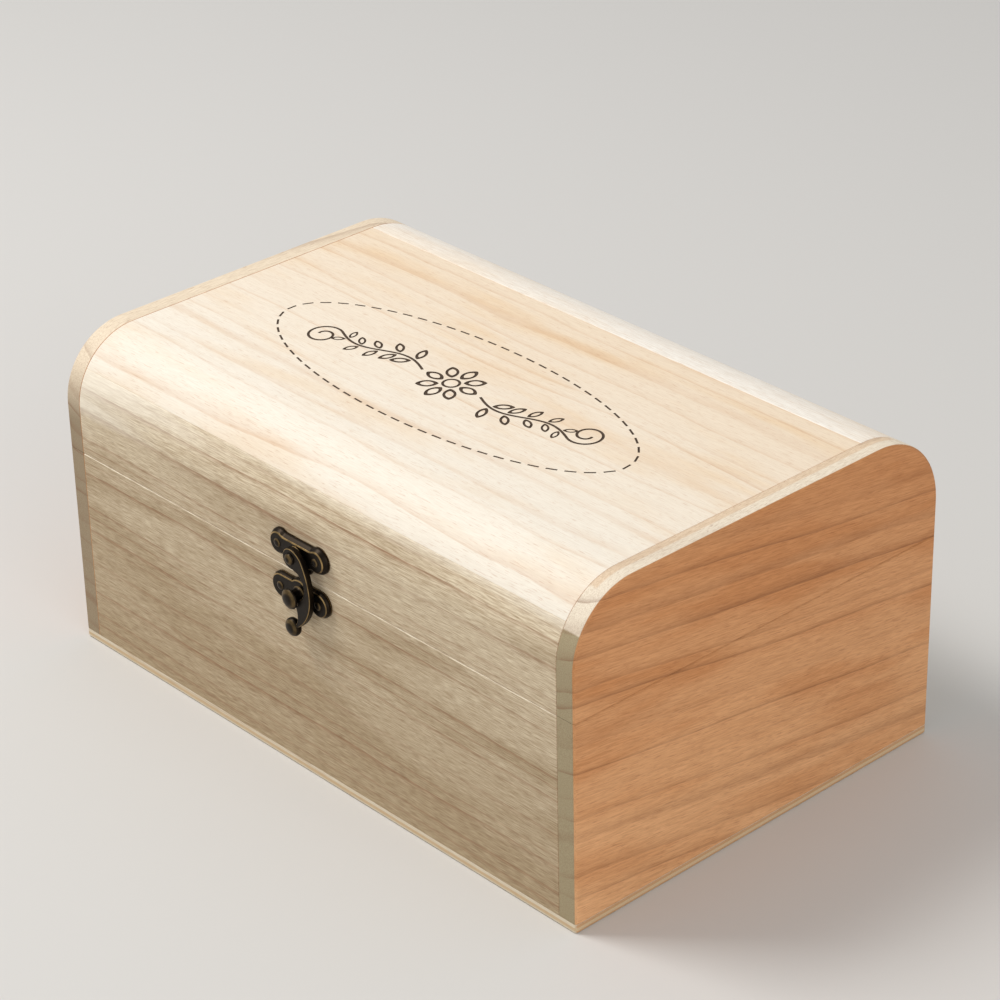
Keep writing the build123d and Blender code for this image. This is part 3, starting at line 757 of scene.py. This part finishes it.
for bar in bars:
    cutter_shape.from_mesh(bar.data)
    bpy.data.objects.remove(bar)
bmesh.ops.recalc_face_normals(cutter_shape, faces=cutter_shape.faces)
print("bars:", len(cutter_shape.faces), "faces, open edges", sum(len(e.link_faces) != 2 for e in cutter_shape.edges))
cutter_mesh = bpy.data.meshes.new("cutter")
cutter_shape.to_mesh(cutter_mesh)
cutter_shape.free()
cutter = bpy.data.objects.new("cutter", cutter_mesh)
bpy.context.scene.collection.objects.link(cutter)

top = new_piece("engraved_lid_top_board", merged_copy("lid_top_board"), top_wood)
ease(top, BOARD_EASE, BOARD_STEPS)
engraving = top.modifiers.new("engraving", "BOOLEAN")
engraving.operation = "DIFFERENCE"
engraving.solver = "EXACT"
engraving.use_self = True
engraving.object = cutter
settle(top)
bpy.data.objects.remove(cutter)
top.data.materials.append(char)
burnt = 0
for face in top.data.polygons:
    x, y, z = [(c - m) / MM for c, m in zip(face.center, (*ENGRAVING_CENTRE.xy, top_z))]
    if -ENGRAVING_DEPTH - 0.05 < z < -0.02 and abs(x) < OVAL[0] + OVAL_MARGIN and abs(y) < OVAL[1] + OVAL_MARGIN:
        face.material_index = 1
        burnt += 1
top.data.shade_smooth()
top.data.set_sharp_from_angle(angle=CUT_CREASE)
keep_flats(top)
stand_for(top, "lid_top_board")
print("engraved top board:", len(top.data.polygons), "faces,", burnt, "of them charred")

# %% [markdown]
# ## Antique bronze
# The latch and the hinges are die cast, plated and then blackened in a bath. A soft wheel rubs the black off whatever
# stands out, so the edges of the castings turn old gold while the flats and the hollows stay nearly black. The gold on
# the edges is also a painted highlight: it is stronger on edges that look up, where light from above would catch
# them, and on every dome it makes a ring. The edges are found by the way that the surface looks: on a casting that
# lies on the front of the box, a rounded edge is where the surface looks half outwards and half aside.

# %% Blackened bronze, worn and with a painted highlight on its edges
CAST_SPECK = 0.5  # mm; the grain of the casting's skin, drawn about three times as coarse as it is


def antique_bronze(name, rub_and_highlight_share):
    """Blackened bronze. Its rounded edges are worn bright and given a painted highlight by this share, or soft patches
    of wear where that is 0.
    """
    material, tree, shader = new_material(name)
    here = add(tree, "ShaderNodeTexCoord")
    patches = add(tree, "ShaderNodeTexNoise", {"Vector": here.outputs["Object"], "Scale": 0.35 / MM, "Detail": 2.0})
    specks = add(
        tree, "ShaderNodeTexNoise", {"Vector": here.outputs["Object"], "Scale": 1 / (CAST_SPECK * MM), "Detail": 2.0}
    )
    worn = add(tree, MAP_RANGE, {0: patches, 1: 0.35, 2: 0.6, 3: 0.45})
    # the gold on the rounded edges is partly real wear and partly a painted highlight
    if rub_and_highlight_share:
        parts = add(tree, SPLIT, {0: here.outputs["Normal"]})
        outwards = add(tree, MATH, {0: parts.outputs["Y"]}, operation="ABSOLUTE")
        rises = add(tree, MAP_RANGE, {0: outwards, 1: 0.6, 2: 0.76}, **SMOOTH)
        falls = add(tree, MAP_RANGE, {0: outwards, 1: 0.992, 2: 0.93}, **SMOOTH)
        edge = add(tree, MATH, {0: rises, 1: falls}, operation="MULTIPLY")
        # painted highlight: edges that look up get more of the gold, as light from above would brighten them
        up = add(tree, MAP_RANGE, {0: parts.outputs["Z"], 1: -0.5, 2: 0.5, 3: 0.3 * rub_and_highlight_share, 4: rub_and_highlight_share})
        edge = add(tree, MATH, {0: edge, 1: up}, operation="MULTIPLY")
    else:
        edge = add(tree, MAP_RANGE, {0: patches, 1: 0.45, 2: 0.85, 4: 0.35})
    rub_and_highlight = add(tree, MATH, {0: edge, 1: worn}, operation="MULTIPLY")
    surface = add(tree, MIX, {MIX_FACTOR: rub_and_highlight, MIX_A: tone("#28221C"), MIX_B: tone("#CBA972")}, data_type="RGBA")
    rough = add(tree, MAP_RANGE, {0: rub_and_highlight, 3: 0.4, 4: 0.22})
    bump = add(tree, "ShaderNodeBump", {"Strength": 0.5, "Distance": 0.02 * MM, "Height": specks})
    feed(tree, shader, {"Base Color": surface, "Roughness": rough, "Normal": bump, "Metallic": 1.0})
    return material


cast_bronze = antique_bronze("antique_bronze_casting", 1.0)
turned_bronze = antique_bronze("antique_bronze_turned", 0.3)
hinge_bronze = antique_bronze("antique_bronze_hinge", 0.0)
print("bronze for the latch and for the hinges")

# %% [markdown]
# ## The latch plates
# Both plates are castings with a sloped rim. The model has the slope, and here the edges round the face and the foot
# of the slope are rounded too. The edges of the nail holes stay as they are, because the nails cover them.

# %% Plates with rounded edges
PLATE_EDGE, PLATE_STEPS = 0.5, 4
HOLE_REACH = 2.2  # mm; an edge closer than this to the axis of a hole is the hole's own


def off_axis(point, axis_point):
    """How far a point is, across the front of the box, from an axis that stands on it."""
    return math.hypot(point.x - axis_point.x, point.z - axis_point.z)


def middle(node):
    """The middle of a node's box."""
    low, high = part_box(node)
    return (low + high) / 2


def heads(node):
    """Where the nails of a node go in: the middle of the box of each of its two solids."""
    shape = bmesh.new()
    shape.from_mesh(frame["nodes"][node].data)
    found = []
    for side in (-1, 1):
        centre = middle(node)
        own = [v.co for v in shape.verts if (v.co.x - centre.x) * side > 0]
        found.append(Vector(((min(c.x for c in own) + max(c.x for c in own)) / 2, centre.y, centre.z)))
    shape.free()
    return found


def plate_share(place, holes):
    """All of the bevel's width for the edges in front of the plate's back, and none for those round its holes."""
    return float(place.y < front_y - 0.1 * MM and min(off_axis(place, hole) for hole in holes) > HOLE_REACH * MM)


for node, nails, turned_node in (
    ("latch_plate", "latch_plate_nails", "latch_rivet"), ("keeper_plate", "keeper_nails", "keeper_post"),
):
    holes = [*heads(nails), middle(turned_node)]
    plate_mesh = merged_copy(node)
    chosen = weigh_edges(plate_mesh, lambda place: plate_share(place, holes))
    plate = new_piece(f"rounded_{node}", plate_mesh, cast_bronze)
    ease(plate, PLATE_EDGE, PLATE_STEPS, "WEIGHT")
    keep_flats(plate)
    stand_for(plate, node)
    print(node, "has", chosen, "rounded edges, and holes at", [[round(c / MM, 1) for c in h] for h in holes])

# %% [markdown]
# ## The hook, the post and the rivet
# The hook's outline is taken from the face of the model's hook, given its thickness again and rounded at its edges,
# in front more than at the back. The knob at its foot, the mushroom post and the rivet's head are turned shapes: a
# half section swung round an axis that stands on the front of the box.

# %% Turned shapes
TURNED_STEPS = 48
CREASE_ANGLE = math.radians(40)  # turned shapes, nails and screws keep the creases that are sharper


def turned(name, half_section, foot, material):
    """A closed shape of revolution. half_section holds (radius, height) in mm, from the axis to the axis again."""
    shape = bmesh.new()
    rings = []
    for radius, height in half_section:
        place = foot + Vector((0, -height * MM, 0))
        if radius < 0.001:
            rings.append([shape.verts.new(place)])
            continue
        turns = [2 * math.pi * i / TURNED_STEPS for i in range(TURNED_STEPS)]
        rings.append([shape.verts.new(place + radius * MM * Vector((math.cos(a), 0, math.sin(a)))) for a in turns])
    for inner, outer in zip(rings, rings[1:]):
        for i in range(TURNED_STEPS):
            k = (i + 1) % TURNED_STEPS
            corners = (inner[i % len(inner)], inner[k % len(inner)], outer[k % len(outer)], outer[i % len(outer)])
            shape.faces.new(list(dict.fromkeys(corners)))
    bmesh.ops.recalc_face_normals(shape, faces=shape.faces)
    mesh = bpy.data.meshes.new(name)
    shape.to_mesh(mesh)
    shape.free()
    piece = new_piece(name, mesh, material)
    mesh.set_sharp_from_angle(angle=CREASE_ANGLE)
    return piece


def dome(radius, rise, foot, steps=10):
    """The half section of a dome from its crown down to its rim, in mm."""
    turns = [math.pi / 2 * i / steps for i in range(steps + 1)]
    return [(radius * math.sin(a), foot + rise * math.cos(a)) for a in turns]


on_front = Vector((0, front_y, 0))
post_foot = on_front + Vector((middle("keeper_post").x, 0, middle("keeper_post").z))
pivot_foot = on_front + Vector((pivot.x, 0, pivot.z))
post_section = [
    *dome(4.3, 1.6, 7.3), (4.24, 7.02), (4.05, 6.78), (3.7, 6.65), (2.95, 6.6), (2.8, 6.4), (2.8, 3.5), (2.9, 3.2),
    (3.15, 2.9), (3.6, 2.6), (1.8, 2.6), (1.8, 0.0), (0.0, 0.0),
]
rivet_section = [*dome(2.5, 1.4, 6.28), (1.6, 6.28), (1.6, 0.0), (0.0, 0.0)]
stand_for(turned("mushroom_post", post_section, post_foot, turned_bronze), "keeper_post")
stand_for(turned("domed_rivet", rivet_section, pivot_foot, turned_bronze), "latch_rivet")
print("post at", [round(c / MM, 1) for c in post_foot], "rivet at", [round(c / MM, 1) for c in pivot_foot])

# %% The hook
HOOK_EDGE, HOOK_STEPS, HOOK_BACK_SHARE = 0.55, 5, 0.45
KNOB_STEPS = 24
KNOB_FULLNESS = 0.82  # 1 would make the knob an ellipsoid, and less makes it fuller


def flats(shape, way):
    """The faces of a mesh that look outwards from the front of the box (way -1) or at it (way 1), by their depth."""
    found = {}
    for face in shape.faces:
        if face.normal.y * way > 0.99:
            found.setdefault(round(face.calc_center_median().y / MM, 2), []).append(face)
    return dict(sorted(found.items()))


shape = bmesh.new()
shape.from_mesh(frame["nodes"]["latch_hook"].data)
bmesh.ops.remove_doubles(shape, verts=shape.verts, dist=WELD)
(_, knob_faces), (face_depth, hook_faces) = flats(shape, -1).items()
back_depth = min(flats(shape, 1))
knob_rim = [v.co for face in knob_faces for v in face.verts]
knob_low, knob_high = [Vector([pick(c[i] for c in knob_rim) for i in range(3)]) for pick in (min, max)]
knob_radius = (knob_high.x - knob_low.x) / 2 / MM
knob_half = (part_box("latch_hook")[1].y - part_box("latch_hook")[0].y) / 2 / MM
knob_middle = (knob_low + knob_high) / 2
bmesh.ops.delete(shape, geom=[face for face in shape.faces if face not in hook_faces], context="FACES")
rim = [edge for edge in shape.edges if edge.is_boundary and off_axis(edge.verts[0].co, pivot) > HOLE_REACH * MM]
edge = rim[0]
vert = edge.verts[0]
outline = []
while vert not in outline:
    outline.append(vert)
    edge = next(other for other in vert.link_edges if other in rim and other != edge)
    vert = edge.other_vert(vert)
rounds = [vert.co.copy() for vert in outline]
at_knob = [off_axis(corner, knob_middle) < (knob_radius + 0.05) * MM for corner in rounds]
shape.clear()
corners = []  # where the outline meets the knob, it runs on into the knob
for i, corner in enumerate(rounds):
    if at_knob[i]:
        corner.x = (corner.x + knob_middle.x) / 2
        corner.z = (corner.z + knob_middle.z) / 2
    if not (at_knob[i] and at_knob[i - 1] and at_knob[(i + 1) % len(rounds)]):
        corners.append(corner)
face = shape.faces.new([shape.verts.new(corner) for corner in corners])
thickened = bmesh.ops.extrude_face_region(shape, geom=[face])["geom"]
for vert in thickened:
    if isinstance(vert, bmesh.types.BMVert):
        vert.co.y = back_depth * MM
bmesh.ops.recalc_face_normals(shape, faces=shape.faces)
print("hook face at", face_depth, "back at", back_depth)
print("knob radius", round(knob_radius, 2), "half its depth", round(knob_half, 2))
print("open edges of the hook:", sum(len(edge.link_faces) != 2 for edge in shape.edges))
hook_mesh = bpy.data.meshes.new("rounded_latch_hook")
shape.to_mesh(hook_mesh)
shape.free()


def hook_share(place):
    """How much of the bevel's width an edge of the hook gets: all of it in front, and less at the back."""
    if abs(place.y / MM - face_depth) < 0.05:
        return 1.0
    return HOOK_BACK_SHARE if abs(place.y / MM - back_depth) < 0.05 else 0.0


weigh_edges(hook_mesh, hook_share)
hook = new_piece("rounded_latch_hook", hook_mesh, cast_bronze)
ease(hook, HOOK_EDGE, HOOK_STEPS, "WEIGHT")
keep_flats(hook)
stand_for(hook, "latch_hook")

knob_section = []
for i in range(KNOB_STEPS + 1):
    angle = math.pi * i / KNOB_STEPS
    along = math.copysign(abs(math.cos(angle)) ** KNOB_FULLNESS, math.cos(angle))
    knob_section.append((knob_radius * math.sin(angle) ** KNOB_FULLNESS, knob_half * along))
knob_foot = Vector((knob_middle.x, (face_depth + back_depth) / 2 * MM, knob_middle.z))
knob = turned("hook_knob", knob_section, knob_foot, turned_bronze)
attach(knob, "hook")
print("knob at", [round(c / MM, 2) for c in knob_foot])

# %% [markdown]
# ## Nails and screws
# Four round-head nails hold the latch and eight slotted screws hold the hinges. They are one shape in two sizes, so
# one Geometry Nodes tree makes it from a ball: the upper half becomes the dome of the head, and the lower half is drawn
# out into the shank. A Boolean cuts the slot of the screws, and every screw was left at another angle.

# %% The nail tree
NAIL_SIZES = {
    "Head Radius": 1.9 * MM, "Head Rise": 0.6 * MM, "Shank Radius": 0.9 * MM, "Shank Length": 7.0 * MM, "Tilt": 0.0,
    "Slotted": 0, "Slot Width": 0.45 * MM, "Seed": 3,
}
BALL_SEGMENTS, BALL_RINGS = 40, 20


def nail_tree():
    """A round-head nail or slotted screw on each point of a mesh."""
    tree, sizes = new_tree("round_head_nails", NAIL_SIZES)
    ball = add(tree, "GeometryNodeMeshUVSphere", {"Segments": BALL_SEGMENTS, "Rings": BALL_RINGS, "Radius": 1.0})
    where = add(tree, "GeometryNodeInputPosition")
    height = add(tree, SPLIT, {0: where}).outputs["Z"]
    flat = add(tree, VECTOR_MATH, {0: where, 1: (1, 1, 0)}, operation="MULTIPLY")
    width = add(tree, VECTOR_MATH, {0: flat}, operation="LENGTH")
    aside = add(tree, VECTOR_MATH, {0: flat}, operation="NORMALIZE")
    in_head = add(tree, MATH, {0: height, 1: -0.01}, operation="GREATER_THAN")
    head_width = add(tree, MATH, {0: width, 1: sizes["Head Radius"]}, operation="MULTIPLY")
    head_height = add(tree, MATH, {0: height, 1: sizes["Head Rise"]}, operation="MULTIPLY")
    first_ring = -math.sin(math.pi / BALL_RINGS)  # the height of the ball's first ring below its middle
    down = add(tree, MAP_RANGE, {0: height, 1: first_ring, 2: -1.0, 3: 0.0, 4: -1.0})
    shank_height = add(tree, MATH, {0: down, 1: sizes["Shank Length"]}, operation="MULTIPLY")
    radius = add(tree, MIX, {0: in_head, 2: sizes["Shank Radius"], 3: head_width})
    tall = add(tree, MIX, {0: in_head, 2: shank_height, 3: head_height})
    out = add(tree, VECTOR_MATH, {0: aside, "Scale": radius}, operation="SCALE")
    up = add(tree, JOIN, {2: tall})
    place = add(tree, VECTOR_MATH, {0: out, 1: up}, operation="ADD")
    nail = add(tree, "GeometryNodeSetPosition", {0: ball, "Position": place})

    slot_length = add(tree, MATH, {0: sizes["Head Radius"], 1: 2.4}, operation="MULTIPLY")
    slot_size = add(tree, JOIN, {0: slot_length, 1: sizes["Slot Width"], 2: sizes["Head Rise"]})
    block = add(tree, "GeometryNodeMeshCube", {"Size": slot_size})
    lift = add(tree, JOIN, {2: sizes["Head Rise"]})
    lifted = add(tree, "GeometryNodeTransform", {0: block, "Translation": lift})
    cut = add(tree, "GeometryNodeMeshBoolean", {0: nail, 1: lifted}, operation="DIFFERENCE")
    chosen = add(tree, "GeometryNodeSwitch", {0: sizes["Slotted"], 1: nail, 2: cut}, input_type="GEOMETRY")
    tilt = add(tree, JOIN, {0: sizes["Tilt"]})
    angle = add(tree, "FunctionNodeRandomValue", {2: 0.0, 3: math.pi, "Seed": sizes["Seed"]}, data_type="FLOAT")
    spin = add(tree, JOIN, {2: angle})
    turned_way = add(tree, "FunctionNodeRotateRotation", {0: tilt, 1: spin}, rotation_space="LOCAL")
    many = add(tree, "GeometryNodeInstanceOnPoints", {0: sizes["Geometry"], "Instance": chosen, "Rotation": turned_way})
    finish_tree(tree, many, sizes["Material"])
    return tree


nails_tree = nail_tree()
print("nail tree has", len(nails_tree.nodes), "nodes")

# %% Nails and screws where the model has them
SCREW_SIZES = {
    "Head Radius": 1.7 * MM, "Head Rise": 0.6 * MM, "Shank Radius": 0.9 * MM, "Shank Length": 7.0 * MM, "Slotted": 1,
}


def fastened(node, outwards, sizes, material):
    """The nails or screws of a node. outwards is the way that their heads look along Y."""
    low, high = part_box(node)
    head_top = low.y if outwards < 0 else high.y
    rise = sizes.get("Head Rise", NAIL_SIZES["Head Rise"])
    seats = bpy.data.meshes.new(f"seats_of_{node}")
    seats.from_pydata([(h.x, head_top - outwards * rise, h.z) for h in heads(node)], [], [])
    tilt = math.copysign(math.pi / 2, -outwards)
    piece = grown(new_piece(f"seats_of_{node}", seats), nails_tree, {**sizes, "Tilt": tilt}, material, f"round_{node}")
    piece.data.shade_smooth()
    piece.data.set_sharp_from_angle(angle=CREASE_ANGLE)
    return stand_for(piece, node)


for node in ("latch_plate_nails", "keeper_nails"):
    fastened(node, -1, {}, turned_bronze)
for side in ("left", "right"):
    for half in ("base", "lid"):
        fastened(f"{side}_hinge_{half}_screws", 1, {**SCREW_SIZES, "Seed": len(side + half)}, hinge_bronze)
print("nails and screws grown")

# %% [markdown]
# ## The hinges
# The leaves are stamped from sheet, with crisp edges that only tumbling has softened, so they get a small bevel.

# %% Hinge leaves and pins
LEAF_EDGE, LEAF_EDGE_STEPS = 0.15, 2

for side in ("left", "right"):
    for half in ("base", "lid"):
        node = f"{side}_hinge_{half}_leaf"
        leaf = new_piece(f"eased_{node}", merged_copy(node), hinge_bronze)
        ease(leaf, LEAF_EDGE, LEAF_EDGE_STEPS)
        keep_flats(leaf)
        stand_for(leaf, node)
    pin = frame["nodes"][f"{side}_hinge_pin"]
    pin.data.materials.clear()
    pin.data.materials.append(hinge_bronze)
print("hinges finished")

# %% [markdown]
# ## Floor and light
# A plain pale floor and soft studio light: one large lamp from the upper left, as in the photograph, a weak one from
# the right, and an even pale sky that fills the shadows.

# %% Floor, lamps and sky
FLOOR_SIZE = 12.0
KEY_POWER, KEY_SIZE, KEY_PLACE = 22.6, 0.7, Vector((-0.9, -0.65, 1.65))
FILL_POWER, FILL_SIZE, FILL_PLACE = 7.0, 1.2, Vector((1.5, -0.35, 0.7))
SKY_STRENGTH = 0.54

floor_mesh = bpy.data.meshes.new("floor")
shape = bmesh.new()
bmesh.ops.create_grid(shape, x_segments=1, y_segments=1, size=FLOOR_SIZE / 2)
shape.to_mesh(floor_mesh)
shape.free()
floor_material, floor_tree, floor_shader = new_material("matt_pale_board")
feed(floor_tree, floor_shader, {"Base Color": tone("#D6D3CE"), "Roughness": 0.9})
floor = new_piece("floor", floor_mesh, floor_material)
floor.location.z = cad_box[0].z


def lamp(name, place, power, size):
    """A square area lamp that looks at the middle of the box."""
    data = bpy.data.lights.new(name, "AREA")
    data.energy = power
    data.size = size
    made = bpy.data.objects.new(name, data)
    made.location = place
    made.rotation_mode = "QUATERNION"
    made.rotation_quaternion = (Vector((0, 0, top_z / 2)) - place).to_track_quat("-Z", "Y")
    bpy.context.scene.collection.objects.link(made)


lamp("key", KEY_PLACE, KEY_POWER, KEY_SIZE)
lamp("fill", FILL_PLACE, FILL_POWER, FILL_SIZE)
world = bpy.data.worlds.new("studio")
world.use_nodes = True
feed(world.node_tree, world.node_tree.nodes["Background"], {"Color": tone("#F7F8FA"), "Strength": SKY_STRENGTH})
bpy.context.scene.world = world
print("key", KEY_POWER, "W, fill", FILL_POWER, "W, sky", SKY_STRENGTH)
